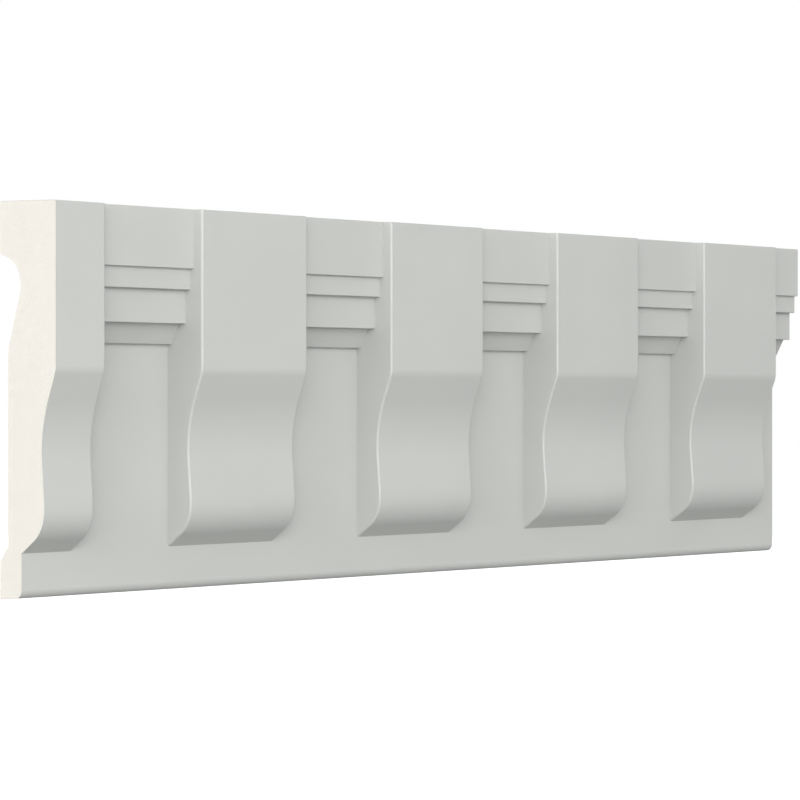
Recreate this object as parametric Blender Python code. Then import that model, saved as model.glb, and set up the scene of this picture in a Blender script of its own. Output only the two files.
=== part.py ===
"""One cast length of exterior dentil moulding, in metres.

Ogee brackets stand in a row on a plain field, under stepped courses. The back is hollowed
between two lands that lie on the wall, and both ends are sawn square.

X runs along the moulding, Z is up, and the wall is the plane Y = 0, with the face towards -Y.
Profiles are drawn as (out, up): out is the distance from the wall, and up is the height above
the lower edge of the field. The origin is the middle of the upper rear land.
"""

import math

import bmesh
import bpy

# Along the moulding
LENGTH = 0.958
BRACKET_WIDTH = 0.116
BRACKET_PITCH = 0.2151
SAWN_WIDTH = 0.0486  # what the saw leaves of the bracket at the left end

# Heights of a bracket's stretches, from the bottom up
PLAIN_BAND = 0.0345
OGEE_HEIGHT = 0.1446
FLAT_HEIGHT = 0.1259

# Heights of the courses between the brackets, from the top down
FASCIA_HEIGHT = 0.0471
SECOND_HEIGHT = 0.0167
THIRD_HEIGHT = 0.0271
SPLAY_HEIGHT = 0.0163

# Steps outward, from the wall to the face of a bracket
HOLLOW_DEPTH = 0.0102
FIELD_WALL = 0.017
FOOT_STEP = 0.005
SPLAY_RUN = 0.0091
THIRD_STEP = 0.0077
SECOND_STEP = 0.0061
FASCIA_STEP = 0.0041
BRACKET_STEP = 0.01

# The mould's draft: the top rises towards the wall and the underside falls
TOP_DRAFT = math.radians(2.0)
UNDERSIDE_DRAFT = math.radians(5.0)

# The ogee, as runs and bends. Slopes are measured from straight down, towards the wall
CORNER_BEND = 0.018
ENTRY_SLOPE = math.radians(22.0)
SWEEP_BEND = 0.105
RETURN_SLOPE = math.radians(-4.8)
CROWN_BEND = 0.0625
BULGE_SLOPE = math.radians(4.0)
BULGE_BEND = 0.029
TOE_SLOPE = math.radians(56.9)
TOE_RUN = 0.0176

# Small rounds
BRACKET_EDGE_ROUND = 0.0018
FIELD_EDGE_ROUND = 0.007

# The hollow back: a shallow recess, and a deeper chamber behind the courses
UPPER_LAND = 0.0407
LOWER_LAND = 0.0298
CHAMBER_DEPTH = 0.0215  # beyond the shallow recess, to the corner before it is rounded
CHAMBER_TOP_FALL = 0.0118
CHAMBER_HEIGHT = 0.0757
CHAMBER_ROUND = 0.0223
CHAMBER_FOOT_ROUND = 0.02
LOWER_LAND_BEVEL = 0.0122
LOWER_LAND_ROUND = 0.003

# How far a cutter or a buried end runs past the surface that it meets
OVERRUN = 0.02

# How finely arcs are drawn, and the turn from which an edge is shaded sharp
BEND_STEP = math.radians(3.5)
ROUND_STEP = math.radians(7.0)
EDGE_SEGMENTS = 3
SHARP_ANGLE = math.radians(31.0)

# Places that follow from the sizes above
FIELD_OUT = HOLLOW_DEPTH + FIELD_WALL
FOOT_OUT = FIELD_OUT + FOOT_STEP
SPLAY_OUT = FOOT_OUT + SPLAY_RUN
THIRD_OUT = SPLAY_OUT + THIRD_STEP
SECOND_OUT = THIRD_OUT + SECOND_STEP
FASCIA_OUT = SECOND_OUT + FASCIA_STEP
BRACKET_OUT = FASCIA_OUT + BRACKET_STEP
TOP_UP = PLAIN_BAND + OGEE_HEIGHT + FLAT_HEIGHT
WALL_TOP_UP = TOP_UP + BRACKET_OUT * math.tan(TOP_DRAFT)
WALL_FOOT_UP = -FIELD_OUT * math.tan(UNDERSIDE_DRAFT)
ORIGIN_UP = WALL_TOP_UP - UPPER_LAND / 2
LEFT_END = -LENGTH / 2
RIGHT_END = LENGTH / 2

PRIMER_COLOUR = (0.565, 0.585, 0.565, 1.0)


def clear_scene():
    for old in list(bpy.data.objects):
        bpy.data.objects.remove(old, do_unlink=True)


def primer():
    material = bpy.data.materials.new("grey_primer")
    material.use_nodes = True
    shader = material.node_tree.nodes["Principled BSDF"]
    shader.inputs["Base Color"].default_value = PRIMER_COLOUR
    shader.inputs["Roughness"].default_value = 0.5
    shader.inputs["Metallic"].default_value = 0.0
    return material


def bend(start, slope, new_slope, radius):
    """Points of an arc that turns a downward path from one slope to another."""
    out, up = start
    side = 1 if new_slope > slope else -1
    count = max(2, math.ceil(abs(new_slope - slope) / BEND_STEP))
    points = []
    for step in range(1, count + 1):
        angle = slope + (new_slope - slope) * step / count
        points.append(
            (
                out + side * radius * (math.cos(angle) - math.cos(slope)),
                up - side * radius * (math.sin(angle) - math.sin(slope)),
            )
        )
    return points


def run(start, slope, length):
    """The end of a straight run down a slope."""
    out, up = start
    return (out - length * math.sin(slope), up - length * math.cos(slope))


def ogee_path(start, entry_run, return_run):
    """The bracket's front below its flat face, down to the field."""
    path = bend(start, 0.0, ENTRY_SLOPE, CORNER_BEND)
    path.append(run(path[-1], ENTRY_SLOPE, entry_run))
    path += bend(path[-1], ENTRY_SLOPE, RETURN_SLOPE, SWEEP_BEND)
    path.append(run(path[-1], RETURN_SLOPE, return_run))
    path += bend(path[-1], RETURN_SLOPE, BULGE_SLOPE, CROWN_BEND)
    path += bend(path[-1], BULGE_SLOPE, TOE_SLOPE, BULGE_BEND)
    path.append(run(path[-1], TOE_SLOPE, TOE_RUN))
    return path


def ogee():
    """The ogee, with the two straight runs that bring its toe to the field at the plain band."""
    start = (BRACKET_OUT, PLAIN_BAND + OGEE_HEIGHT)
    toe_out, toe_up = ogee_path(start, 0.0, 0.0)[-1]
    inward = toe_out - FIELD_OUT
    downward = toe_up - PLAIN_BAND
    turn = math.sin(ENTRY_SLOPE - RETURN_SLOPE)
    entry_run = (inward * math.cos(RETURN_SLOPE) - downward * math.sin(RETURN_SLOPE)) / turn
    return_run = (downward * math.sin(ENTRY_SLOPE) - inward * math.cos(ENTRY_SLOPE)) / turn
    return [start] + ogee_path(start, entry_run, return_run)


def rounded(corners):
    """An outline from (out, up, radius) corners, with an arc for each radius above zero."""
    outline = []
    for index, (out, up, radius) in enumerate(corners):
        if radius == 0:
            outline.append((out, up))
            continue
        last_out, last_up, _ = corners[index - 1]
        next_out, next_up, _ = corners[(index + 1) % len(corners)]
        arriving = math.atan2(up - last_up, out - last_out)
        leaving = math.atan2(next_up - up, next_out - out)
        turn = (leaving - arriving + math.pi) % math.tau - math.pi
        reach = radius * math.tan(abs(turn) / 2)
        side = 1 if turn > 0 else -1
        centre_out = out - reach * math.cos(arriving) - side * radius * math.sin(arriving)
        centre_up = up - reach * math.sin(arriving) + side * radius * math.cos(arriving)
        count = max(2, math.ceil(abs(turn) / ROUND_STEP))
        for step in range(count + 1):
            angle = arriving + turn * step / count
            outline.append(
                (
                    centre_out + side * radius * math.sin(angle),
                    centre_up - side * radius * math.cos(angle),
                )
            )
    return outline


def prism(name, outline, start, end, edge_round=0.0):
    """The solid swept along X by an (out, up) outline, with its two rims rounded if asked."""
    form = bmesh.new()
    ring = [form.verts.new((start, -out, up - ORIGIN_UP)) for out, up in outline]
    cap = form.faces.new(ring)
    swept = bmesh.ops.extrude_face_region(form, geom=[cap])
    moved = [item for item in swept["geom"] if isinstance(item, bmesh.types.BMVert)]
    bmesh.ops.translate(form, vec=(end - start, 0, 0), verts=moved)
    bmesh.ops.recalc_face_normals(form, faces=form.faces)
    if edge_round > 0:
        caps = sorted(form.faces, key=lambda face: abs(face.normal.x))[-2:]
        rims = {edge for face in caps for edge in face.edges}
        bmesh.ops.bevel(
            form,
            geom=list(rims),
            offset=edge_round,
            offset_type="OFFSET",
            segments=EDGE_SEGMENTS,
            profile=0.5,
            affect="EDGES",
        )
    mesh = bpy.data.meshes.new(name)
    form.to_mesh(mesh)
    form.free()
    solid = bpy.data.objects.new(name, mesh)
    bpy.context.scene.collection.objects.link(solid)
    return solid


def courses_outline():
    """The plain field and the stepped courses, over the run of the whole length."""
    above = WALL_TOP_UP + OVERRUN
    fascia_up = TOP_UP - FASCIA_HEIGHT
    second_up = fascia_up - SECOND_HEIGHT
    third_up = second_up - THIRD_HEIGHT
    splay_up = third_up - SPLAY_HEIGHT
    return rounded(
        [
            (0.0, WALL_FOOT_UP, 0.0),
            (FIELD_OUT, 0.0, FIELD_EDGE_ROUND),
            (FIELD_OUT, splay_up, 0.0),
            (FOOT_OUT, splay_up, 0.0),
            (SPLAY_OUT, third_up, 0.0),
            (THIRD_OUT, third_up, 0.0),
            (THIRD_OUT, second_up, 0.0),
            (SECOND_OUT, second_up, 0.0),
            (SECOND_OUT, fascia_up, 0.0),
            (FASCIA_OUT, fascia_up, 0.0),
            (FASCIA_OUT, above, 0.0),
            (0.0, above, 0.0),
        ]
    )


def bracket_outline():
    """A bracket, carried up past the top and back into the field, where it is cut or buried."""
    front = ogee()
    root_out = HOLLOW_DEPTH / 2
    toe_out, toe_up = front[-1]
    buried_run = (toe_out - root_out) / math.sin(TOE_SLOPE)
    above = WALL_TOP_UP + OVERRUN
    return [
        (root_out, above),
        (BRACKET_OUT, above),
        *front[:-1],
        run((toe_out, toe_up), TOE_SLOPE, buried_run),
    ]


def hollow_outline():
    """The space behind the moulding, with its wall side open."""
    ceiling_up = WALL_TOP_UP - UPPER_LAND
    recess_up = ceiling_up - CHAMBER_HEIGHT
    sill_up = WALL_FOOT_UP + LOWER_LAND
    return rounded(
        [
            (-OVERRUN, sill_up, 0.0),
            (0.0, sill_up, 0.0),
            (HOLLOW_DEPTH, sill_up + LOWER_LAND_BEVEL, LOWER_LAND_ROUND),
            (HOLLOW_DEPTH, recess_up, CHAMBER_FOOT_ROUND),
            (HOLLOW_DEPTH + CHAMBER_DEPTH, ceiling_up - CHAMBER_TOP_FALL, CHAMBER_ROUND),
            (0.0, ceiling_up, 0.0),
            (-OVERRUN, ceiling_up, 0.0),
        ]
    )


def envelope_outline():
    """What the mould's sloping top and the two saw cuts leave."""
    back_out = -OVERRUN
    front_out = BRACKET_OUT + OVERRUN
    below = WALL_FOOT_UP - OVERRUN
    fall = math.tan(TOP_DRAFT)
    return [
        (back_out, below),
        (front_out, below),
        (front_out, WALL_TOP_UP - front_out * fall),
        (back_out, WALL_TOP_UP - back_out * fall),
    ]


def bracket_starts():
    """The left edge of each bracket, from the one that the left saw cut goes through."""
    starts = []
    start = LEFT_END + SAWN_WIDTH - BRACKET_WIDTH
    while start < RIGHT_END:
        starts.append(start)
        start += BRACKET_PITCH
    return starts


def combine(body, operation, tools):
    """Applies the Booleans of body with each tool in turn, and removes the tools."""
    for tool in tools:
        modifier = body.modifiers.new(operation.lower(), "BOOLEAN")
        modifier.operation = operation
        modifier.solver = "EXACT"
        modifier.object = tool
    graph = bpy.context.evaluated_depsgraph_get()
    result = bpy.data.meshes.new_from_object(body.evaluated_get(graph))
    body.modifiers.clear()
    body.data = result
    for tool in tools:
        bpy.data.objects.remove(tool, do_unlink=True)


def shade(body):
    """Primer all over, smooth over the rounds and flat on the large faces."""
    body.data.materials.clear()
    body.data.materials.append(primer())
    body.data.shade_smooth()
    body.data.set_sharp_from_angle(angle=SHARP_ANGLE)
    flat_faces = body.modifiers.new("flat_faces", "WEIGHTED_NORMAL")
    flat_faces.keep_sharp = True


def dentil_moulding():
    """Cast over-long, then cut to the length, as the real one is."""
    past_left = LEFT_END - BRACKET_WIDTH - OVERRUN
    past_right = RIGHT_END + BRACKET_WIDTH + OVERRUN
    body = prism("dentil_moulding", courses_outline(), past_left, past_right)
    profile = bracket_outline()
    brackets = [
        prism("bracket", profile, start, start + BRACKET_WIDTH, BRACKET_EDGE_ROUND)
        for start in bracket_starts()
    ]
    combine(body, "UNION", brackets)
    hollow = prism("hollow", hollow_outline(), past_left - OVERRUN, past_right + OVERRUN)
    combine(body, "DIFFERENCE", [hollow])
    envelope = prism("envelope", envelope_outline(), LEFT_END, RIGHT_END)
    combine(body, "INTERSECT", [envelope])
    body.data.name = body.name
    shade(body)


clear_scene()
dentil_moulding()
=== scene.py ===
"""Looks of one cast length of exterior dentil moulding, in metres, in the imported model's frame.

Two pieces stand for the one solid. The foam body is the casting, bare at the saw cuts and on the
hollow back. The primer coat is the thin paint skin over its top, face and underside.

X runs along the moulding, Z is up, and the wall is the plane Y = 0, with the face towards -Y.
Profiles are drawn as (out, up): out is the distance from the wall, and up is the height above
the lower edge of the field.
"""

import logging
import math
from dataclasses import dataclass, field
from enum import Enum

import bmesh
import bpy
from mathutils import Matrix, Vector


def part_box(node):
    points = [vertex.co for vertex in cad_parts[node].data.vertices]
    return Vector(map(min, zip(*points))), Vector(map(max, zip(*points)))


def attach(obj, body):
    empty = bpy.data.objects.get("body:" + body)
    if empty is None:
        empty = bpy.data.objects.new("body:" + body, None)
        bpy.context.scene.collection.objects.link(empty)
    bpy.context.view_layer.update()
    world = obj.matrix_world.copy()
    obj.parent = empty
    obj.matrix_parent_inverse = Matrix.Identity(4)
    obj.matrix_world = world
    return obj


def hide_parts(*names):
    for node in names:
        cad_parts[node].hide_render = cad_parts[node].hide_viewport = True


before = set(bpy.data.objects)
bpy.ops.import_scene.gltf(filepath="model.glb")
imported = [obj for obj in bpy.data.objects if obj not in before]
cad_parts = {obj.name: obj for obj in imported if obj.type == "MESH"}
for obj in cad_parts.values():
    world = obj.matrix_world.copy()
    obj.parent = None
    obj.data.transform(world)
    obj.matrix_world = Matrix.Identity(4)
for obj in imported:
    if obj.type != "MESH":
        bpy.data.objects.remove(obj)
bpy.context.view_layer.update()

NODE = "dentil_moulding"
BODY = "root"
LOG = logging.getLogger("dentil_moulding")

Point = tuple[float, float]
Colour = tuple[float, float, float]
Socket = bpy.types.NodeSocket
Tree = bpy.types.NodeTree
Material = bpy.types.Material
Solid = bpy.types.Object
Form = bmesh.types.BMesh
Edge = bmesh.types.BMEdge


class Join(Enum):
    """What one solid does to another."""

    UNITE = "UNION"
    CUT_AWAY = "DIFFERENCE"
    KEEP_SHARED = "INTERSECT"


class Slot(Enum):
    """The record's material slots."""

    PRIMER = "grey_primer"
    FOAM = "raw_foam"


class FoamFace(Enum):
    """The two kinds of face on the bare foam, by their material's place in the mesh."""

    MOULDED = 0
    SAWN = 1


def bend(start: Point, slope: float, new_slope: float, radius: float, step: float) -> list[Point]:
    """Turns a downward path from one slope to another on an arc.

    Args:
        start: Where the arc begins, as (out, up).
        slope: The arriving slope in radians from straight down, towards the wall.
        new_slope: The leaving slope, measured the same way.
        radius: The arc's radius.
        step: The most that one chord turns, in radians.

    Returns:
        The arc's points after the start.
    """
    out, up = start
    side = 1 if new_slope > slope else -1
    count = max(2, math.ceil(abs(new_slope - slope) / step))
    points = []
    for index in range(1, count + 1):
        angle = slope + (new_slope - slope) * index / count
        moved_out = side * radius * (math.cos(angle) - math.cos(slope))
        moved_up = -side * radius * (math.sin(angle) - math.sin(slope))
        points.append((out + moved_out, up + moved_up))
    return points


def run(start: Point, slope: float, length: float) -> Point:
    """Walks straight down a slope.

    Args:
        start: Where the run begins, as (out, up).
        slope: The slope in radians from straight down, towards the wall.
        length: The run's length.

    Returns:
        The end of the run.
    """
    out, up = start
    return (out - length * math.sin(slope), up - length * math.cos(slope))


def rounded(corners: list[tuple[float, float, float]], step: float) -> list[Point]:
    """Draws a closed outline whose corners may be rounded.

    Args:
        corners: (out, up, radius) for each corner, with radius 0 for a sharp one.
        step: The most that one chord of a round turns, in radians.

    Returns:
        The outline's points.
    """
    outline = []
    for index, (out, up, radius) in enumerate(corners):
        if radius == 0:
            outline.append((out, up))
            continue
        last_out, last_up, _ = corners[index - 1]
        next_out, next_up, _ = corners[(index + 1) % len(corners)]
        arriving = math.atan2(up - last_up, out - last_out)
        leaving = math.atan2(next_up - up, next_out - out)
        turn = (leaving - arriving + math.pi) % math.tau - math.pi
        reach = radius * math.tan(abs(turn) / 2)
        side = 1 if turn > 0 else -1
        centre_out = out - reach * math.cos(arriving) - side * radius * math.sin(arriving)
        centre_up = up - reach * math.sin(arriving) + side * radius * math.cos(arriving)
        count = max(2, math.ceil(abs(turn) / step))
        for chord in range(count + 1):
            angle = arriving + turn * chord / count
            round_out = centre_out + side * radius * math.sin(angle)
            round_up = centre_up - side * radius * math.cos(angle)
            outline.append((round_out, round_up))
    return outline


def inset(outline: list[Point], depth: float) -> list[Point]:
    """Moves every side of a closed outline inwards by the same depth.

    Args:
        outline: The outline's points, in either direction.
        depth: How far each side moves.

    Returns:
        The smaller outline, with as many points.
    """
    if depth == 0:
        return list(outline)
    followers = outline[1:] + outline[:1]
    doubled_area = sum(a[0] * b[1] - b[0] * a[1] for a, b in zip(outline, followers))
    turn = 1 if doubled_area > 0 else -1
    normals = []
    for (out, up), (next_out, next_up) in zip(outline, followers):
        length = math.hypot(next_out - out, next_up - up)
        normals.append((-turn * (next_up - up) / length, turn * (next_out - out) / length))
    moved = []
    for index, (out, up) in enumerate(outline):
        before, after = normals[index - 1], normals[index]
        mitre = depth / (1 + before[0] * after[0] + before[1] * after[1])
        moved.append((out + mitre * (before[0] + after[0]), up + mitre * (before[1] + after[1])))
    return moved


def bevel(form: Form, edges: list[Edge], radius: float, segments: int) -> None:
    """Rounds edges over.

    Args:
        form: The mesh being worked on.
        edges: Its edges to round.
        radius: The round's radius.
        segments: How many flats make the round.
    """
    bmesh.ops.bevel(
        form,
        geom=edges,
        offset=radius,
        offset_type="OFFSET",
        segments=segments,
        profile=0.5,
        affect="EDGES",
    )


def stand(name: str, form: Form) -> Solid:
    """Puts a finished form into the scene.

    Args:
        name: The object's name.
        form: The form, which is used up.

    Returns:
        The object.
    """
    mesh = bpy.data.meshes.new(name)
    form.to_mesh(mesh)
    form.free()
    made = bpy.data.objects.new(name, mesh)
    bpy.context.scene.collection.objects.link(made)
    return made


@dataclass(frozen=True)
class Place:
    """Where the casting lies in the frame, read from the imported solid."""

    left: float
    right: float
    front: float
    top: float
    foot: float

    @classmethod
    def of_node(cls, node: str) -> "Place":
        """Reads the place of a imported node.

        Args:
            node: The node's name.

        Returns:
            Its two ends along X, how far out its front lies, and the heights of its rear edges.
        """
        low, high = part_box(node)
        return cls(left=low.x, right=high.x, front=-low.y, top=high.z, foot=low.z)


@dataclass(frozen=True)
class Fineness:
    """How finely rounds are drawn, how far cutters run past, and how near counts as the same.

    A face is square to a direction above the cosine squarely, and turned from it below steep.
    """

    bend_step: float = math.radians(1.5)
    round_step: float = math.radians(6.0)
    edge_segments: int = 8
    top_segments: int = 3
    overrun: float = 0.02
    merge: float = 2e-6
    touching: float = 1e-5
    squarely: float = 0.999
    steep: float = 0.5
    sharp_angle: float = math.radians(31.0)

    def reopened(self, body: Solid) -> Form:
        """Opens a piece for mesh work, without the doubled points that a cut leaves.

        Args:
            body: The piece.

        Returns:
            Its mesh, to be worked on.
        """
        form = bmesh.new()
        form.from_mesh(body.data)
        bmesh.ops.remove_doubles(form, verts=form.verts, dist=self.merge)
        bmesh.ops.dissolve_degenerate(form, edges=form.edges, dist=self.merge)
        return form


@dataclass(frozen=True)
class Courses:
    """The plain field and the stepped courses over it, alike along the whole length."""

    field_out: float = 0.0272
    foot_step: float = 0.005
    splay_run: float = 0.0091
    third_step: float = 0.0077
    second_step: float = 0.0061
    fascia_step: float = 0.0041
    fascia_height: float = 0.0471
    second_height: float = 0.0167
    third_height: float = 0.0271
    splay_height: float = 0.0163
    field_edge_round: float = 0.007
    arris_round: float = 0.0006
    crease_round: float = 0.0004
    underside_draft: float = math.radians(5.0)

    @property
    def fascia_out(self) -> float:
        """How far out the fascia stands."""
        steps = (self.foot_step, self.splay_run, self.third_step, self.second_step)
        return self.field_out + sum(steps) + self.fascia_step

    @property
    def wall_foot_up(self) -> float:
        """The height of the lower rear edge, under the sloping underside."""
        return -self.field_out * math.tan(self.underside_draft)

    def outline(self, top_up: float, above: float, softened: bool, fine: Fineness) -> list[Point]:
        """Draws the section between two brackets, over-high and without the hollow.

        Args:
            top_up: The height of a bracket's top edge, from which the courses hang.
            above: The height at which the outline closes, past the top.
            softened: Whether the small edges and creases of the courses are rounded.
            fine: How finely rounds are drawn.

        Returns:
            The closed outline.
        """
        arris = self.arris_round if softened else 0.0
        crease = self.crease_round if softened else 0.0
        behind = -fine.overrun
        foot_out = self.field_out + self.foot_step
        splay_out = foot_out + self.splay_run
        third_out = splay_out + self.third_step
        second_out = third_out + self.second_step
        fascia_up = top_up - self.fascia_height
        second_up = fascia_up - self.second_height
        third_up = second_up - self.third_height
        splay_up = third_up - self.splay_height
        return rounded(
            [
                (behind, self.wall_foot_up + behind * math.tan(self.underside_draft), 0.0),
                (self.field_out, 0.0, self.field_edge_round),
                (self.field_out, splay_up, crease),
                (foot_out, splay_up, arris),
                (splay_out, third_up, crease),
                (third_out, third_up, arris),
                (third_out, second_up, crease),
                (second_out, second_up, arris),
                (second_out, fascia_up, crease),
                (self.fascia_out, fascia_up, arris),
                (self.fascia_out, above, 0.0),
                (behind, above, 0.0),
            ],
            fine.round_step,
        )


@dataclass(frozen=True)
class Bracket:
    """One ogee bracket: a flat face over a hollow sweep, a bulge and a toe cut back to the field."""

    width: float = 0.116
    pitch: float = 0.2151
    sawn_width: float = 0.0486
    plain_band: float = 0.0345
    ogee_height: float = 0.1446
    flat_height: float = 0.1259
    edge_round: float = 0.0018
    corner_bend: float = 0.018
    entry_slope: float = math.radians(22.0)
    sweep_bend: float = 0.105
    return_slope: float = math.radians(-4.8)
    crown_bend: float = 0.0625
    bulge_slope: float = math.radians(4.0)
    bulge_bend: float = 0.029
    toe_slope: float = math.radians(56.9)
    toe_run: float = 0.0176

    @property
    def top_up(self) -> float:
        """The height of the flat face's top edge."""
        return self.plain_band + self.ogee_height + self.flat_height

    def path(self, start: Point, entry_run: float, return_run: float, step: float) -> list[Point]:
        """Follows the front below the flat face, down to the field.

        Args:
            start: The lower edge of the flat face, as (out, up).
            entry_run: The length of the straight run into the sweep.
            return_run: The length of the straight run out of it.
            step: The most that one chord turns, in radians.

        Returns:
            The path's points after the start.
        """
        path = bend(start, 0.0, self.entry_slope, self.corner_bend, step)
        path.append(run(path[-1], self.entry_slope, entry_run))
        path += bend(path[-1], self.entry_slope, self.return_slope, self.sweep_bend, step)
        path.append(run(path[-1], self.return_slope, return_run))
        path += bend(path[-1], self.return_slope, self.bulge_slope, self.crown_bend, step)
        path += bend(path[-1], self.bulge_slope, self.toe_slope, self.bulge_bend, step)
        path.append(run(path[-1], self.toe_slope, self.toe_run))
        return path

    def ogee(self, front: float, field_out: float, step: float) -> list[Point]:
        """Draws the ogee with the two straight runs that bring its toe to the plain band.

        Args:
            front: How far out the flat face stands.
            field_out: How far out the field stands.
            step: The most that one chord turns, in radians.

        Returns:
            The points from the flat face's lower edge to the toe.
        """
        start = (front, self.plain_band + self.ogee_height)
        toe_out, toe_up = self.path(start, 0.0, 0.0, step)[-1]
        inward = toe_out - field_out
        downward = toe_up - self.plain_band
        turn = math.sin(self.entry_slope - self.return_slope)
        entry_in = inward * math.cos(self.return_slope)
        entry_down = downward * math.sin(self.return_slope)
        return_in = inward * math.cos(self.entry_slope)
        return_down = downward * math.sin(self.entry_slope)
        entry_run = (entry_in - entry_down) / turn
        return_run = (return_down - return_in) / turn
        return [start] + self.path(start, entry_run, return_run, step)

    def outline(self, front: float, field_out: float, above: float, fine: Fineness) -> list[Point]:
        """Draws a bracket's side, over-high and buried in the field.

        Args:
            front: How far out the flat face stands.
            field_out: How far out the field stands.
            above: The height at which the outline closes, past the top.
            fine: How finely bends are drawn.

        Returns:
            The closed outline.
        """
        ogee = self.ogee(front, field_out, fine.bend_step)
        toe_out, _ = ogee[-1]
        root_out = field_out / 2
        buried_run = (toe_out - root_out) / math.sin(self.toe_slope)
        return [
            (root_out, above),
            (front, above),
            *ogee[:-1],
            run(ogee[-1], self.toe_slope, buried_run),
        ]

    def starts(self, place: Place) -> list[float]:
        """Finds each bracket's left edge, from the one that the left saw cut goes through.

        Args:
            place: Where the casting lies.

        Returns:
            The X of each left edge.
        """
        starts = []
        start = place.left + self.sawn_width - self.width
        while start < place.right:
            starts.append(start)
            start += self.pitch
        return starts


@dataclass(frozen=True)
class Hollow:
    """The space behind the casting: a shallow recess, and a chamber behind the courses."""

    depth: float = 0.0102
    upper_land: float = 0.0407
    lower_land: float = 0.0298
    chamber_depth: float = 0.0215
    chamber_top_fall: float = 0.0118
    chamber_height: float = 0.0757
    chamber_round: float = 0.0223
    chamber_foot_round: float = 0.02
    land_bevel: float = 0.0122
    land_round: float = 0.003

    def outline(self, wall_top_up: float, wall_foot_up: float, fine: Fineness) -> list[Point]:
        """Draws the hollow's section, open past the wall.

        Args:
            wall_top_up: The height of the upper rear edge.
            wall_foot_up: The height of the lower rear edge.
            fine: How finely rounds are drawn.

        Returns:
            The closed outline.
        """
        ceiling_up = wall_top_up - self.upper_land
        recess_up = ceiling_up - self.chamber_height
        sill_up = wall_foot_up + self.lower_land
        return rounded(
            [
                (-fine.overrun, sill_up, 0.0),
                (0.0, sill_up, 0.0),
                (self.depth, sill_up + self.land_bevel, self.land_round),
                (self.depth, recess_up, self.chamber_foot_round),
                (
                    self.depth + self.chamber_depth,
                    ceiling_up - self.chamber_top_fall,
                    self.chamber_round,
                ),
                (0.0, ceiling_up, 0.0),
                (-fine.overrun, ceiling_up, 0.0),
            ],
            fine.round_step,
        )


class Sheet:
    """A node tree that is being filled, with short calls for its nodes and links."""

    COLUMN = 220
    MIXED_COLOURS = (6, 7)
    MIX_RESULT = 2

    def __init__(self, tree: Tree) -> None:
        """Takes the tree to fill and empties it."""
        self.tree = tree
        self.tree.nodes.clear()

    def add(
        self, kind: str, values: dict[str | int, object] | None = None, **settings: object
    ) -> bpy.types.Node:
        """Adds a node to the right of the last one.

        Args:
            kind: The node's Blender type.
            values: What its unlinked inputs hold, by their names or places.
            settings: What its own properties are set to.

        Returns:
            The node.
        """
        node = self.tree.nodes.new(kind)
        node.location = (self.COLUMN * len(self.tree.nodes), 0)
        for name, setting in settings.items():
            setattr(node, name, setting)
        for name, value in (values or {}).items():
            node.inputs[name].default_value = value
        return node

    def link(self, source: Socket, target: Socket) -> None:
        """Joins an output to an input."""
        self.tree.links.new(source, target)

    def object_place(self) -> Socket:
        """The surface's own place, in metres."""
        return self.add("ShaderNodeTexCoord").outputs["Object"]

    def group(self, tree: Tree, place: Socket, **values: float) -> bpy.types.Node:
        """Places a shared effect.

        Args:
            tree: The effect's node group.
            place: The surface's place, for the group's Place input.
            values: What its other inputs hold, with underscores for spaces.

        Returns:
            The group node.
        """
        node = self.add("ShaderNodeGroup", node_tree=tree)
        self.link(place, node.inputs["Place"])
        for name, value in values.items():
            node.inputs[name.replace("_", " ")].default_value = value
        return node

    def work_out(self, operation: str, first: object, second: object, clamp: bool = False) -> Socket:
        """Works out one number from two.

        Args:
            operation: The Math node's operation.
            first: A number or an output.
            second: A number or an output.
            clamp: Whether the result stays between 0 and 1.

        Returns:
            The result's output.
        """
        node = self.add("ShaderNodeMath", operation=operation, use_clamp=clamp)
        for socket, value in zip(node.inputs, (first, second)):
            if isinstance(value, Socket):
                self.link(value, socket)
            else:
                socket.default_value = value
        return node.outputs[0]

    def spread(self, value: Socket, low: float, high: float, to_low: float, to_high: float) -> Socket:
        """Maps one span of values smoothly to another, and holds it there past both ends.

        Args:
            value: The number to map.
            low: Where the first span starts.
            high: Where it ends.
            to_low: What its start becomes.
            to_high: What its end becomes.

        Returns:
            The mapped number's output.
        """
        node = self.add("ShaderNodeMapRange", interpolation_type="SMOOTHSTEP")
        self.link(value, node.inputs["Value"])
        for name, number in zip(("From Min", "From Max", "To Min", "To Max"), (low, high, to_low, to_high)):
            node.inputs[name].default_value = number
        return node.outputs["Result"]

    def blend(self, share: Socket, first: object, second: object) -> Socket:
        """Mixes two colours.

        Args:
            share: How much of the second shows.
            first: A colour or an output.
            second: A colour or an output.

        Returns:
            The mixed colour's output.
        """
        node = self.add("ShaderNodeMix", data_type="RGBA")
        self.link(share, node.inputs[0])
        for index, colour in zip(self.MIXED_COLOURS, (first, second)):
            if isinstance(colour, Socket):
                self.link(colour, node.inputs[index])
            else:
                node.inputs[index].default_value = (*colour, 1.0)
        return node.outputs[self.MIX_RESULT]

    def bumps(self, height: Socket, depth: float) -> Socket:
        """Turns a height into relief.

        Args:
            height: The height's output.
            depth: How high a height of 1 stands, in metres.

        Returns:
            The normal's output.
        """
        node = self.add("ShaderNodeBump", {"Distance": depth, "Strength": 1.0})
        self.link(height, node.inputs["Height"])
        return node.outputs["Normal"]

    def surface(self, shader: Socket) -> None:
        """Makes a shader the look of the material."""
        self.link(shader, self.add("ShaderNodeOutputMaterial").inputs["Surface"])

    def principled(self, values: dict[str, float], **driven: Socket) -> None:
        """Makes one Principled shader the look of the material.

        Args:
            values: What its unlinked inputs hold, by their names.
            driven: What drives its other inputs, with underscores for spaces.
        """
        shader = self.add("ShaderNodeBsdfPrincipled", values)
        for name, source in driven.items():
            self.link(source, shader.inputs[name.replace("_", " ")])
        self.surface(shader.outputs["BSDF"])


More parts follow.
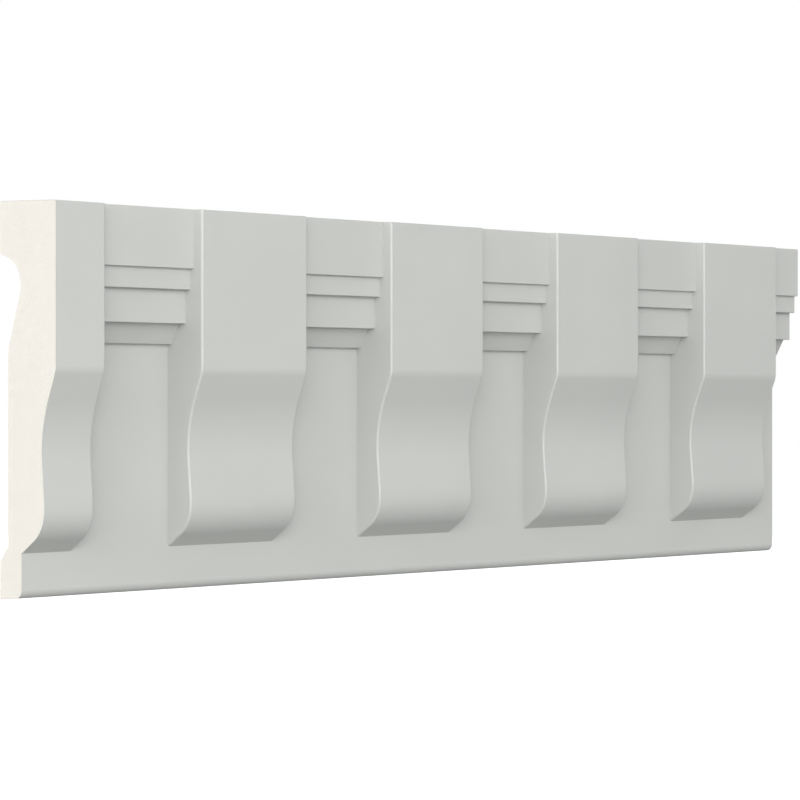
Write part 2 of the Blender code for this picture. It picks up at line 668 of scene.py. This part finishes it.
def blank_material(name: str) -> tuple[Material, Sheet]:
    """Makes a material with nothing in it yet.

    Args:
        name: Its name.

    Returns:
        The material, and the sheet for its nodes.
    """
    material = bpy.data.materials.new(name)
    material.use_nodes = True
    return material, Sheet(material.node_tree)


@dataclass(frozen=True)
class Effects:
    """The node groups that more than one finish uses, each built once.

    A relief layer is (share of the grain's size, detail of its noise).
    """

    MOTTLE_ROUGHNESS = 0.55
    MOTTLE_SPAN = (0.3, 0.7)
    RELIEF_LAYERS = ((1.0, 1.0), (0.27, 2.0))

    mottle: Tree
    relief: Tree
    pores: Tree

    @classmethod
    def built(cls) -> "Effects":
        """Builds all three groups."""
        return cls(mottle=cls.mottle_group(), relief=cls.relief_group(), pores=cls.pores_group())

    @staticmethod
    def empty_group(name: str, numbers: dict[str, float], results: tuple[str, ...]) -> Tree:
        """Makes an empty group with a Place input and named numbers.

        Args:
            name: The group's name.
            numbers: Its number inputs and what they hold at first.
            results: Its outputs, all numbers.

        Returns:
            The group.
        """
        tree = bpy.data.node_groups.new(name, "ShaderNodeTree")
        tree.interface.new_socket("Place", in_out="INPUT", socket_type="NodeSocketVector")
        for label, value in numbers.items():
            socket = tree.interface.new_socket(label, in_out="INPUT", socket_type="NodeSocketFloat")
            socket.default_value = value
        for label in results:
            tree.interface.new_socket(label, in_out="OUTPUT", socket_type="NodeSocketFloat")
        return tree

    @classmethod
    def mottle_group(cls) -> Tree:
        """Makes soft patches of tone, such as paint or foam skin has over a hand's width.

        Returns:
            The group.
        """
        tree = cls.empty_group("soft mottle", {"Patch Size": 0.1, "Cloudiness": 2.0}, ("Tone",))
        sheet = Sheet(tree)
        given = sheet.add("NodeGroupInput")
        noise = sheet.add("ShaderNodeTexNoise", {"Roughness": cls.MOTTLE_ROUGHNESS})
        sheet.link(given.outputs["Place"], noise.inputs["Vector"])
        sheet.link(sheet.work_out("DIVIDE", 1.0, given.outputs["Patch Size"]), noise.inputs["Scale"])
        sheet.link(given.outputs["Cloudiness"], noise.inputs["Detail"])
        made = sheet.add("NodeGroupOutput")
        tone = sheet.spread(noise.outputs["Fac"], *cls.MOTTLE_SPAN, 0.0, 1.0)
        sheet.link(tone, made.inputs["Tone"])
        return tree

    @classmethod
    def relief_group(cls) -> Tree:
        """Makes fine unevenness, such as sprayed paint or a mould's face leaves.

        Returns:
            The group.
        """
        tree = cls.empty_group("fine relief", {"Grain Size": 0.002, "Fine Share": 0.3}, ("Height",))
        sheet = Sheet(tree)
        given = sheet.add("NodeGroupInput")
        heights = []
        for share, detail in cls.RELIEF_LAYERS:
            noise = sheet.add("ShaderNodeTexNoise", {"Detail": detail})
            sheet.link(given.outputs["Place"], noise.inputs["Vector"])
            size = sheet.work_out("MULTIPLY", given.outputs["Grain Size"], share)
            sheet.link(sheet.work_out("DIVIDE", 1.0, size), noise.inputs["Scale"])
            heights.append(noise.outputs["Fac"])
        fine = sheet.work_out("MULTIPLY", heights[1], given.outputs["Fine Share"])
        made = sheet.add("NodeGroupOutput")
        sheet.link(sheet.work_out("ADD", heights[0], fine), made.inputs["Height"])
        return tree

    @classmethod
    def pores_group(cls) -> Tree:
        """Makes round pores of uneven size, close together in cut foam and few in its skin.

        Returns:
            The group.
        """
        tree = cls.empty_group(
            "foam pores",
            {"Cell Size": 0.0008, "Openness": 0.5, "Crowding": 1.0, "Crispness": 5.0},
            ("Pore",),
        )
        sheet = Sheet(tree)
        given = sheet.add("NodeGroupInput")
        scale = sheet.work_out("DIVIDE", 1.0, given.outputs["Cell Size"])
        cells = sheet.add("ShaderNodeTexVoronoi", {"Randomness": 1.0}, feature="F1")
        sheet.link(given.outputs["Place"], cells.inputs["Vector"])
        sheet.link(scale, cells.inputs["Scale"])
        chance = sheet.add("ShaderNodeSeparateColor")
        sheet.link(cells.outputs["Color"], chance.inputs["Color"])
        there = sheet.work_out("LESS_THAN", chance.outputs["Red"], given.outputs["Crowding"])
        width = sheet.work_out("MULTIPLY", chance.outputs["Green"], given.outputs["Openness"])
        depth = sheet.work_out("SUBTRACT", width, cells.outputs["Distance"])
        deep = sheet.work_out("MULTIPLY", depth, given.outputs["Crispness"], clamp=True)
        made = sheet.add("NodeGroupOutput")
        sheet.link(sheet.work_out("MULTIPLY", deep, there), made.inputs["Pore"])
        return tree


@dataclass(frozen=True)
class Clouds:
    """One scale of soft patches of tone."""

    size: float
    detail: float

    def over(self, sheet: Sheet, effects: Effects, place: Socket) -> Socket:
        """Lays the patches over a surface.

        Args:
            sheet: The material's node tree.
            effects: The shared node groups.
            place: The surface's place.

        Returns:
            The tone's output, from 0 to 1.
        """
        node = sheet.group(effects.mottle, place, Patch_Size=self.size, Cloudiness=self.detail)
        return node.outputs["Tone"]


@dataclass(frozen=True)
class Pores:
    """One size of pore. The openness is a share of the spacing, and the crowding of the places."""

    spacing: float
    openness: float
    crowding: float
    crispness: float = 5.0

    def over(self, sheet: Sheet, effects: Effects, place: Socket) -> Socket:
        """Lays the pores over a surface.

        Args:
            sheet: The material's node tree.
            effects: The shared node groups.
            place: The surface's place.

        Returns:
            The depth's output, from 0 to 1.
        """
        node = sheet.group(
            effects.pores,
            place,
            Cell_Size=self.spacing,
            Openness=self.openness,
            Crowding=self.crowding,
            Crispness=self.crispness,
        )
        return node.outputs["Pore"]


@dataclass(frozen=True)
class PrimerFinish:
    """Factory primer, sprayed: pale grey with a slight green cast, satin, with a faint orange peel."""

    tone: Colour = (0.535, 0.547, 0.527)
    second_tone: Colour = (0.551, 0.563, 0.541)
    clouds: Clouds = Clouds(size=0.12, detail=3.0)
    refraction: float = 1.48
    least_roughness: float = 0.36
    most_roughness: float = 0.42
    peel_size: float = 0.0022
    peel_fine_share: float = 0.15
    peel_height: float = 0.00002

    def material(self, effects: Effects) -> Material:
        """Builds the primer.

        Args:
            effects: The shared node groups.

        Returns:
            The material.
        """
        material, sheet = blank_material("grey primer")
        place = sheet.object_place()
        cloud = self.clouds.over(sheet, effects, place)
        peel = sheet.group(
            effects.relief, place, Grain_Size=self.peel_size, Fine_Share=self.peel_fine_share
        )
        colour = sheet.blend(cloud, self.tone, self.second_tone)
        sheen = sheet.spread(cloud, 0.0, 1.0, self.least_roughness, self.most_roughness)
        relief = sheet.bumps(peel.outputs["Height"], self.peel_height)
        values = {"Metallic": 0.0, "IOR": self.refraction}
        sheet.principled(values, Base_Color=colour, Roughness=sheen, Normal=relief)
        return material


@dataclass(frozen=True)
class SawnFoamFinish:
    """Rigid foam where the saw went through: cream, with fine open cells darkened by painted shade, and a
    denser rim.

    WAVE_RATE is how far Blender's wave runs, in radians, for each unit of its scale.
    """

    WAVE_RATE = 20.0

    wall: Colour = (0.835, 0.807, 0.746)
    # Painted shade colour of the open cells, which is also the far end of the random drift tone.
    pore_shade_and_drift: Colour = (0.755, 0.718, 0.640)
    rim: Colour = (0.805, 0.772, 0.690)
    cells: Pores = Pores(spacing=0.0006, openness=0.75, crowding=0.9)
    bubbles: Pores = Pores(spacing=0.0045, openness=0.13, crowding=0.5, crispness=20.0)
    pore_shade_share: float = 0.4
    drift: Clouds = Clouds(size=0.02, detail=4.0)
    drift_share: float = 0.07
    roughness: float = 0.85
    cell_depth: float = 0.0001
    saw_pitch: float = 0.0016
    saw_centre: tuple[float, float, float] = (0.0, -0.35, 0.25)
    saw_wander: float = 0.6
    saw_detail: float = 1.0
    saw_share: float = 0.25
    rim_attribute: str = "rim_depth"
    rim_fade: tuple[float, float] = (0.25, 1.0)

    def material(self, effects: Effects) -> Material:
        """Builds the sawn foam.

        Args:
            effects: The shared node groups.

        Returns:
            The material.
        """
        material, sheet = blank_material("sawn foam")
        place = sheet.object_place()
        rim = sheet.add("ShaderNodeAttribute", attribute_name=self.rim_attribute)
        inner = sheet.spread(rim.outputs["Fac"], *self.rim_fade, 0.0, 1.0)
        cells = self.cells.over(sheet, effects, place)
        bubbles = self.bubbles.over(sheet, effects, place)
        opened = sheet.work_out("ADD", cells, bubbles, clamp=True)
        pore = sheet.work_out("MULTIPLY", opened, inner)
        # Painted shade: the open cells are darkened towards the pore shade colour. The drift added to it is
        # tone that varies at random.
        shaded = sheet.work_out("MULTIPLY", pore, self.pore_shade_share)
        drift = sheet.work_out("MULTIPLY", self.drift.over(sheet, effects, place), self.drift_share)
        body = sheet.blend(sheet.work_out("ADD", shaded, drift, clamp=True), self.wall, self.pore_shade_and_drift)
        colour = sheet.blend(inner, self.rim, body)
        centre = sheet.add("ShaderNodeVectorMath", {1: self.saw_centre}, operation="SUBTRACT")
        sheet.link(place, centre.inputs[0])
        marks = sheet.add(
            "ShaderNodeTexWave",
            {
                "Scale": math.tau / (self.WAVE_RATE * self.saw_pitch),
                "Distortion": self.saw_wander,
                "Detail": self.saw_detail,
            },
            wave_type="RINGS",
            rings_direction="X",
        )
        sheet.link(centre.outputs[0], marks.inputs["Vector"])
        marked = sheet.work_out("MULTIPLY", marks.outputs["Fac"], self.saw_share)
        relief = sheet.bumps(sheet.work_out("SUBTRACT", marked, pore), self.cell_depth)
        values = {"Metallic": 0.0, "Roughness": self.roughness}
        sheet.principled(values, Base_Color=colour, Normal=relief)
        return material


@dataclass(frozen=True)
class MouldedFoamFinish:
    """The foam's closed skin from the mould: flow clouds, pinholes and bubbles darkened by painted shade,
    and primer dust.

    A hole is hole_swirls times as deep as a swirl is high.
    """

    tone: Colour = (0.78, 0.735, 0.62)
    second_tone: Colour = (0.85, 0.815, 0.73)
    # Painted shade colour inside the pinholes and bubbles.
    hole_shade: Colour = (0.50, 0.44, 0.34)
    dust: Colour = (0.58, 0.59, 0.565)
    clouds: Clouds = Clouds(size=0.035, detail=5.0)
    flow: tuple[float, float, float] = (0.32, 1.0, 1.0)
    pinholes: Pores = Pores(spacing=0.007, openness=0.15, crowding=0.6, crispness=30.0)
    bubbles: Pores = Pores(spacing=0.034, openness=0.06, crowding=0.4, crispness=30.0)
    least_roughness: float = 0.45
    most_roughness: float = 0.62
    swirl_size: float = 0.004
    swirl_fine_share: float = 0.3
    swirl_height: float = 0.00005
    hole_swirls: float = 6.0
    dust_reach: float = 0.011
    dust_grain: Clouds = Clouds(size=0.004, detail=4.0)
    least_dust: float = 0.35

    def material(self, effects: Effects, place: Place) -> Material:
        """Builds the moulded skin.

        Args:
            effects: The shared node groups.
            place: Where the casting lies, for the primer dust along its rear edges.

        Returns:
            The material.
        """
        material, sheet = blank_material("moulded foam")
        spot = sheet.object_place()
        flowing = sheet.add("ShaderNodeVectorMath", {1: self.flow}, operation="MULTIPLY")
        sheet.link(spot, flowing.inputs[0])
        cloud = self.clouds.over(sheet, effects, flowing.outputs[0])
        pinholes = self.pinholes.over(sheet, effects, spot)
        bubbles = self.bubbles.over(sheet, effects, spot)
        holes = sheet.work_out("ADD", pinholes, bubbles, clamp=True)
        level = sheet.add("ShaderNodeSeparateXYZ")
        sheet.link(spot, level.inputs["Vector"])
        rise = level.outputs["Z"]
        near_top = sheet.spread(rise, place.top - self.dust_reach, place.top, 0.0, 1.0)
        near_foot = sheet.spread(rise, place.foot, place.foot + self.dust_reach, 1.0, 0.0)
        near = sheet.work_out("ADD", near_top, near_foot, clamp=True)
        specks = sheet.work_out("ADD", self.dust_grain.over(sheet, effects, spot), self.least_dust)
        ragged = sheet.work_out("MULTIPLY", near, specks, clamp=True)
        skin = sheet.blend(cloud, self.tone, self.second_tone)
        # Painted shade: the pinholes and bubbles are darkened towards the hole shade colour.
        hole_shaded = sheet.blend(holes, skin, self.hole_shade)
        colour = sheet.blend(ragged, hole_shaded, self.dust)
        sheen = sheet.spread(cloud, 0.0, 1.0, self.least_roughness, self.most_roughness)
        swirl = sheet.group(
            effects.relief, spot, Grain_Size=self.swirl_size, Fine_Share=self.swirl_fine_share
        )
        sunk = sheet.work_out("MULTIPLY", holes, self.hole_swirls)
        height = sheet.work_out("SUBTRACT", swirl.outputs["Height"], sunk)
        relief = sheet.bumps(height, self.swirl_height)
        sheet.principled({"Metallic": 0.0}, Base_Color=colour, Roughness=sheen, Normal=relief)
        return material


@dataclass(frozen=True)
class Casting:
    """The whole moulding: the foam body with its hollow back, and the primer coat over it."""

    place: Place
    courses: Courses = field(default_factory=Courses)
    bracket: Bracket = field(default_factory=Bracket)
    hollow: Hollow = field(default_factory=Hollow)
    fine: Fineness = field(default_factory=Fineness)
    top_draft: float = math.radians(2.0)
    top_edge_round: float = 0.0005
    coat: float = 0.0003
    rim_width: float = 0.0018

    @property
    def wall_top_up(self) -> float:
        """The height of the upper rear edge, where the sloping top meets the wall."""
        return self.bracket.top_up + self.place.front * math.tan(self.top_draft)

    @property
    def origin_up(self) -> float:
        """The height of the frame's origin."""
        return self.wall_top_up - self.place.top

    @property
    def above(self) -> float:
        """The height at which over-high forms close."""
        return self.wall_top_up + self.fine.overrun

    def prism(self, outline: list[Point], start: float, end: float, edge_round: float = 0.0) -> Solid:
        """Sweeps an outline along X into a closed solid.

        Args:
            outline: The section, as (out, up) points.
            start: The X of the left end.
            end: The X of the right end.
            edge_round: The radius of the rounds along both rims, or 0 for sharp rims.

        Returns:
            The solid.
        """
        form = bmesh.new()
        ring = [form.verts.new((start, -out, up - self.origin_up)) for out, up in outline]
        cap = form.faces.new(ring)
        swept = bmesh.ops.extrude_face_region(form, geom=[cap])
        moved = [item for item in swept["geom"] if isinstance(item, bmesh.types.BMVert)]
        bmesh.ops.translate(form, vec=(end - start, 0, 0), verts=moved)
        bmesh.ops.recalc_face_normals(form, faces=form.faces)
        if edge_round > 0:
            caps = sorted(form.faces, key=lambda face: abs(face.normal.x))[-2:]
            rims = {edge for face in caps for edge in face.edges}
            bevel(form, list(rims), edge_round, self.fine.edge_segments)
        return stand("prism", form)

    @staticmethod
    def combine(body: Solid, join: Join, tools: list[Solid]) -> None:
        """Joins or cuts a solid with each tool in turn, and removes the tools.

        Args:
            body: The solid that changes.
            join: What the tools do to it.
            tools: The other solids.
        """
        for tool in tools:
            modifier = body.modifiers.new(join.name.lower(), "BOOLEAN")
            modifier.operation = join.value
            modifier.solver = "EXACT"
            modifier.object = tool
        graph = bpy.context.evaluated_depsgraph_get()
        result = bpy.data.meshes.new_from_object(body.evaluated_get(graph))
        body.modifiers.clear()
        body.data = result
        for tool in tools:
            bpy.data.objects.remove(tool, do_unlink=True)

    def past_ends(self, overrun: float) -> tuple[float, float]:
        """The two ends of a form that runs a bracket and an overrun past each saw cut."""
        past = self.bracket.width + overrun
        return (self.place.left - past, self.place.right + past)

    def face_form(self, depth: float) -> Solid:
        """Makes the moulding's outer form, over-long, over-high and running on behind the wall.

        Args:
            depth: How far under the painted surface the form lies.

        Returns:
            The solid.
        """
        softened = depth == 0
        section = self.courses.outline(self.bracket.top_up, self.above, softened, self.fine)
        body = self.prism(inset(section, depth), *self.past_ends(self.fine.overrun))
        side = self.bracket.outline(self.place.front, self.courses.field_out, self.above, self.fine)
        side = inset(side, depth)
        brackets = [
            self.prism(
                side,
                start + depth,
                start + self.bracket.width - depth,
                self.bracket.edge_round - depth,
            )
            for start in self.bracket.starts(self.place)
        ]
        self.combine(body, Join.UNITE, brackets)
        return body

    def envelope(self, depth: float, past: float) -> Solid:
        """Makes the block that the sloping top, the two saw cuts and the wall leave.

        Args:
            depth: How far under the painted top its top lies.
            past: How far it runs past the saw cuts and behind the wall.

        Returns:
            The solid.
        """
        fall = math.tan(self.top_draft)
        front = self.place.front + self.fine.overrun
        below = self.courses.wall_foot_up - self.fine.overrun
        top_up = self.wall_top_up - depth / math.cos(self.top_draft)
        outline = [
            (-past, below),
            (front, below),
            (front, top_up - front * fall),
            (-past, top_up + past * fall),
        ]
        return self.prism(outline, self.place.left - past, self.place.right + past)

    def lies_on_a_cut(self, edge: Edge) -> bool:
        """Tells whether an edge bounds one of the two saw cuts.

        Args:
            edge: The edge.

        Returns:
            Whether both of its ends lie in the plane of the same cut.
        """
        for end in (self.place.left, self.place.right):
            if all(abs(vert.co.x - end) < self.fine.touching for vert in edge.verts):
                return True
        return False

    def round_top_edges(self, body: Solid) -> None:
        """Takes the sharpness off the front edges of the top.

        Args:
            body: The painted form, cut to length.
        """
        form = self.fine.reopened(body)
        upward = Vector((0.0, -math.sin(self.top_draft), math.cos(self.top_draft)))
        edges = []
        for edge in form.edges:
            slopes = sorted(face.normal.dot(upward) for face in edge.link_faces)
            bounds_top = slopes[-1] > self.fine.squarely and slopes[0] < self.fine.steep
            rear = all(vert.co.y > -self.fine.touching for vert in edge.verts)
            if bounds_top and not rear and not self.lies_on_a_cut(edge):
                edges.append(edge)
        bevel(form, edges, self.top_edge_round, self.fine.top_segments)
        form.to_mesh(body.data)
        form.free()

    def mark_rim(self, body: Solid, attribute: str) -> None:
        """Gives the saw cuts their own material, and a band along their rims for the denser skin.

        Args:
            body: The foam body.
            attribute: The name of the number that runs from 0 at the rim to 1 inside it.
        """
        form = self.fine.reopened(body)
        depth = form.verts.layers.float.new(attribute)
        for face in form.faces:
            face.material_index = FoamFace.MOULDED.value
        caps = [face for face in form.faces if abs(face.normal.x) > self.fine.squarely]
        for face in caps:
            face.material_index = FoamFace.SAWN.value
        rings = bmesh.ops.inset_region(
            form, faces=caps, thickness=self.rim_width, use_even_offset=True, use_boundary=True
        )
        for face in rings["faces"]:
            face.material_index = FoamFace.SAWN.value
        for cap in caps:
            for vert in cap.verts:
                vert[depth] = 1.0
        form.to_mesh(body.data)
        form.free()

    def finish_mesh(self, body: Solid, name: str, materials: list[Material]) -> None:
        """Names a piece, gives it its materials and shades its rounds smooth.

        Args:
            body: The piece.
            name: Its name.
            materials: Its materials, in the order of their places.
        """
        body.name = name
        body.data.name = name
        places = [face.material_index for face in body.data.polygons]
        body.data.materials.clear()
        for material in materials:
            body.data.materials.append(material)
        for face, index in zip(body.data.polygons, places):
            face.material_index = min(index, len(materials) - 1)
        body.data.shade_smooth()
        body.data.set_sharp_from_angle(angle=self.fine.sharp_angle)
        flat_faces = body.modifiers.new("flat_faces", "WEIGHTED_NORMAL")
        flat_faces.keep_sharp = True
        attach(body, BODY)
        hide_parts(NODE)
        LOG.info("%s: %d faces", name, len(body.data.polygons))

    def primer_coat(self, primer: Material) -> Solid:
        """Makes the coat: the painted form less the foam under it.

        Args:
            primer: Its material.

        Returns:
            The piece.
        """
        coat = self.face_form(0.0)
        self.combine(coat, Join.KEEP_SHARED, [self.envelope(0.0, 0.0)])
        self.round_top_edges(coat)
        foam = self.face_form(self.coat)
        self.combine(foam, Join.KEEP_SHARED, [self.envelope(self.coat, self.fine.overrun / 2)])
        self.combine(coat, Join.CUT_AWAY, [foam])
        self.finish_mesh(coat, "primer_coat", [primer])
        return coat

    def foam_body(self, moulded: Material, sawn: Material, rim: str) -> Solid:
        """Makes the casting under the coat, hollowed and sawn to length.

        Args:
            moulded: The material of the back.
            sawn: The material of the saw cuts.
            rim: The name of the number that marks the rims of the cuts.

        Returns:
            The piece.
        """
        foam = self.face_form(self.coat)
        hollow = self.hollow.outline(self.wall_top_up, self.courses.wall_foot_up, self.fine)
        cutter = self.prism(hollow, *self.past_ends(2 * self.fine.overrun))
        self.combine(foam, Join.CUT_AWAY, [cutter])
        self.combine(foam, Join.KEEP_SHARED, [self.envelope(self.coat, 0.0)])
        self.mark_rim(foam, rim)
        self.finish_mesh(foam, "foam_body", [moulded, sawn])
        return foam


@dataclass(frozen=True)
class GlowingWall:
    """A soft patch of bright wall, low down in the room round the moulding."""

    turn: float
    glow: float
    fade_from: float
    fade_to: float

    def glow_over(self, sheet: Sheet, toward: Socket, low_down: Socket) -> Socket:
        """Works out how much the wall glows in each direction.

        Args:
            sheet: The world's node tree.
            toward: The direction looked in.
            low_down: How far that direction lies below the wall's upper edge, from 0 to 1.

        Returns:
            The glow's output.
        """
        middle = (-math.sin(self.turn), -math.cos(self.turn), 0.0)
        facing = sheet.add("ShaderNodeVectorMath", {1: middle}, operation="DOT_PRODUCT")
        sheet.link(toward, facing.inputs[0])
        bright = sheet.spread(facing.outputs["Value"], self.fade_from, self.fade_to, 0.0, self.glow)
        return sheet.work_out("MULTIPLY", low_down, bright)


@dataclass(frozen=True)
class Studio:
    """A white studio: a dim dome, two glowing walls, a soft key at the front left and a pale floor."""

    place: Place
    floor_drop: float = 1.8
    floor_size: float = 60.0
    floor_tone: Colour = (0.39, 0.39, 0.385)
    seen_floor_tone: Colour = (0.95, 0.95, 0.95)
    seen_floor_glow: float = 0.5
    dome: float = 0.50
    front_wall: GlowingWall = GlowingWall(turn=math.radians(53.0), glow=2.25, fade_from=-0.1, fade_to=0.9)
    back_wall: GlowingWall = GlowingWall(turn=math.radians(220.0), glow=2.0, fade_from=0.35, fade_to=0.95)
    walls_full: float = math.radians(22.0)
    walls_end: float = math.radians(38.0)
    white: float = 1.0
    key_distance: float = 2.5
    key_size: float = 1.2
    key_turn: float = math.radians(42.0)
    key_rise: float = math.radians(12.0)
    key_power: float = 14.6
    eye: tuple[float, float, float] = (-1.78105, -1.71258, -0.13472)
    eye_turn: float = math.radians(45.55)
    lens: float = 123.27
    sensor: float = 36.0
    horizon_shift: float = 0.0008

    @staticmethod
    def camera_sees(sheet: Sheet, other: Socket, seen: Socket) -> Socket:
        """Shows one shader to the camera and lights the scene with another.

        Args:
            sheet: The node tree.
            other: The shader that lights the scene.
            seen: The shader that the camera sees.

        Returns:
            The joined shader's output.
        """
        path = sheet.add("ShaderNodeLightPath")
        mix = sheet.add("ShaderNodeMixShader")
        sheet.link(path.outputs["Is Camera Ray"], mix.inputs[0])
        sheet.link(other, mix.inputs[1])
        sheet.link(seen, mix.inputs[2])
        return mix.outputs[0]

    def light_world(self) -> None:
        """Surrounds the scene with the dome and the glowing walls, white behind the moulding."""
        world = bpy.data.worlds.new("white studio")
        world.use_nodes = True
        bpy.context.scene.world = world
        sheet = Sheet(world.node_tree)
        toward = sheet.add("ShaderNodeTexCoord").outputs["Generated"]
        level = sheet.add("ShaderNodeSeparateXYZ")
        sheet.link(toward, level.inputs["Vector"])
        rise = level.outputs["Z"]
        low_down = sheet.spread(rise, math.sin(self.walls_full), math.sin(self.walls_end), 1.0, 0.0)
        front = self.front_wall.glow_over(sheet, toward, low_down)
        back = self.back_wall.glow_over(sheet, toward, low_down)
        room = sheet.add("ShaderNodeBackground")
        walls = sheet.work_out("ADD", front, back)
        sheet.link(sheet.work_out("ADD", walls, self.dome), room.inputs["Strength"])
        seen = sheet.add("ShaderNodeBackground", {"Strength": self.white})
        for node in (room, seen):
            node.inputs["Color"].default_value = (1.0, 1.0, 1.0, 1.0)
        joined = self.camera_sees(sheet, room.outputs[0], seen.outputs[0])
        sheet.link(joined, sheet.add("ShaderNodeOutputWorld").inputs["Surface"])

    def lay_floor(self) -> None:
        """Lays the pale floor well below, as under a moulding on a wall."""
        form = bmesh.new()
        bmesh.ops.create_grid(form, x_segments=1, y_segments=1, size=self.floor_size / 2)
        floor = stand("floor", form)
        floor.location = (0.0, 0.0, self.place.foot - self.floor_drop)
        material, sheet = blank_material("pale floor")
        plain = sheet.add("ShaderNodeBsdfDiffuse", {"Color": (*self.floor_tone, 1.0)})
        glow = sheet.add("ShaderNodeEmission", {"Strength": self.seen_floor_glow})
        both = sheet.add("ShaderNodeAddShader")
        bright = sheet.add("ShaderNodeBsdfDiffuse", {"Color": (*self.seen_floor_tone, 1.0)})
        sheet.link(bright.outputs[0], both.inputs[0])
        sheet.link(glow.outputs[0], both.inputs[1])
        joined = self.camera_sees(sheet, plain.outputs[0], both.outputs[0])
        sheet.surface(joined)
        floor.data.materials.append(material)

    def hang_key(self) -> None:
        """Hangs the soft key light, aimed at the middle of the moulding."""
        middle = Vector((0.0, 0.0, (self.place.top + self.place.foot) / 2))
        level = self.key_distance * math.cos(self.key_rise)
        away = Vector(
            (
                -level * math.sin(self.key_turn),
                -level * math.cos(self.key_turn),
                self.key_distance * math.sin(self.key_rise),
            )
        )
        light = bpy.data.lights.new("key", "AREA")
        light.shape = "DISK"
        light.size = self.key_size
        light.energy = self.key_power
        key = bpy.data.objects.new("key", light)
        key.location = middle + away
        key.rotation_euler = away.to_track_quat("Z", "Y").to_euler()
        bpy.context.scene.collection.objects.link(key)

    def set_camera(self) -> None:
        """Sets the camera level, to the left of the moulding and in front of it."""
        data = bpy.data.cameras.new("camera")
        data.sensor_width = self.sensor
        data.lens = self.lens
        data.shift_y = self.horizon_shift
        camera = bpy.data.objects.new("camera", data)
        camera.location = self.eye
        camera.rotation_euler = (math.pi / 2, 0.0, -self.eye_turn)
        bpy.context.scene.collection.objects.link(camera)
        bpy.context.scene.camera = camera

    def build(self) -> None:
        """Sets up the whole studio."""
        self.light_world()
        self.lay_floor()
        self.hang_key()
        self.set_camera()
        bpy.context.scene.view_settings.view_transform = "Standard"
        LOG.info("studio: dome, walls, key light, floor and camera")


def main() -> None:
    """Builds the moulding's two pieces and the studio round them."""
    logging.basicConfig(level=logging.INFO, format="%(name)s: %(message)s")
    place = Place.of_node(NODE)
    effects = Effects.built()
    sawn_foam = SawnFoamFinish()
    casting = Casting(place=place)
    casting.foam_body(
        moulded=MouldedFoamFinish().material(effects, place),
        sawn=sawn_foam.material(effects),
        rim=sawn_foam.rim_attribute,
    )
    casting.primer_coat(PrimerFinish().material(effects))
    Studio(place=place).build()


if __name__ == "__main__":
    main()
